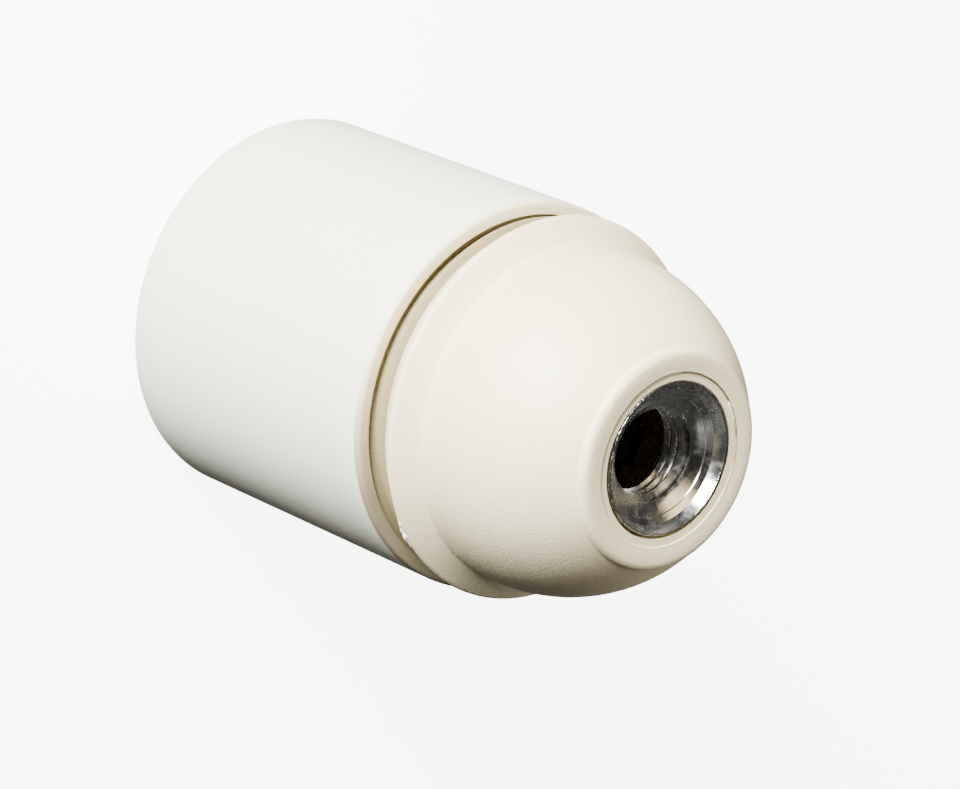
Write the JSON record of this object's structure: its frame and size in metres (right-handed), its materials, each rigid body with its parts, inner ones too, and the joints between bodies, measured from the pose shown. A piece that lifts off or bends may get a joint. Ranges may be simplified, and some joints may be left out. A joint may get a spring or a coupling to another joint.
{
  "type": "lamp holder",
  "caption": "Screw-socket lamp holder: smooth cylindrical shell, threaded domed cap with a metal threaded cord entry, and a wiring insert with sprung contacts.",
  "frame": {"origin": "centre of the open lamp mouth's rim, where the part stands", "axes": "+Z along the holder's axis from the lamp mouth to the cord entry; the two terminals lie on +X (live) and -X (neutral)"},
  "size_m": [0.0404, 0.0404, 0.0603],
  "materials": {
    "shell_plastic": "matt moulded thermoplastic, cool white",
    "cap_plastic": "matt moulded thermoplastic, warm cream",
    "block_plastic": "matt moulded thermoset",
    "entry_metal": "turned, zinc plated",
    "screw_metal": "zinc plated",
    "brass": "rolled brass",
    "spring_bronze": "phosphor bronze strip"
  },
  "bodies": {
    "shell": {"outer_shell": "shell_plastic"},
    "insert": {"terminal_block": "block_plastic", "live_saddle": "brass", "neutral_saddle": "brass", "live_rivet": "brass", "neutral_rivet": "brass"},
    "cap": {"dome_cap": "cap_plastic", "entry_bush": "entry_metal"},
    "centre_spring": {"centre_contact": "spring_bronze"},
    "side_spring": {"side_contact": "spring_bronze"},
    "live_clamp": {"live_clamp": "screw_metal"},
    "live_screw": {"live_screw": "screw_metal"},
    "neutral_clamp": {"neutral_clamp": "screw_metal"},
    "neutral_screw": {"neutral_screw": "screw_metal"}
  },
  "joints": [
    {"name": "cap_turn", "type": "hinge", "parent": "shell", "child": "insert", "pos_m": [0, 0, 0.027], "axis": [0, 0, 1], "range_deg": [-360, 540]},
    {"name": "cap_rise", "type": "slide", "parent": "insert", "child": "cap", "axis": [0, 0, 1], "range_m": [-0.0025, 0.00375]},
    {"name": "centre_contact_press", "type": "hinge", "parent": "insert", "child": "centre_spring", "pos_m": [0.0106, 0, 0.0264], "axis": [0, 1, 0], "range_deg": [0, 8], "stiffness_Nm_per_rad": 0.2},
    {"name": "side_contact_press", "type": "hinge", "parent": "insert", "child": "side_spring", "pos_m": [-0.0106, 0, 0.0264], "axis": [0, 1, 0], "range_deg": [0, 8], "stiffness_Nm_per_rad": 0.15},
    {"name": "live_screw_turn", "type": "hinge", "parent": "live_clamp", "child": "live_screw", "pos_m": [0.0052, 0, 0.0379], "axis": [0, 0, 1], "range_deg": [-720, 720]},
    {"name": "live_clamp_travel", "type": "slide", "parent": "insert", "child": "live_clamp", "axis": [0, 0, 1], "range_m": [-0.0012, 0.0012]},
    {"name": "neutral_screw_turn", "type": "hinge", "parent": "neutral_clamp", "child": "neutral_screw", "pos_m": [-0.0052, 0, 0.0379], "axis": [0, 0, 1], "range_deg": [-720, 720]},
    {"name": "neutral_clamp_travel", "type": "slide", "parent": "insert", "child": "neutral_clamp", "axis": [0, 0, 1], "range_m": [-0.0012, 0.0012]}
  ],
  "couplings": [
    {"joint": "cap_turn", "follows": "cap_rise", "rad_per_m": 2513.3},
    {"joint": "live_screw_turn", "follows": "live_clamp_travel", "rad_per_m": 10472},
    {"joint": "neutral_screw_turn", "follows": "neutral_clamp_travel", "rad_per_m": 10472}
  ]
}
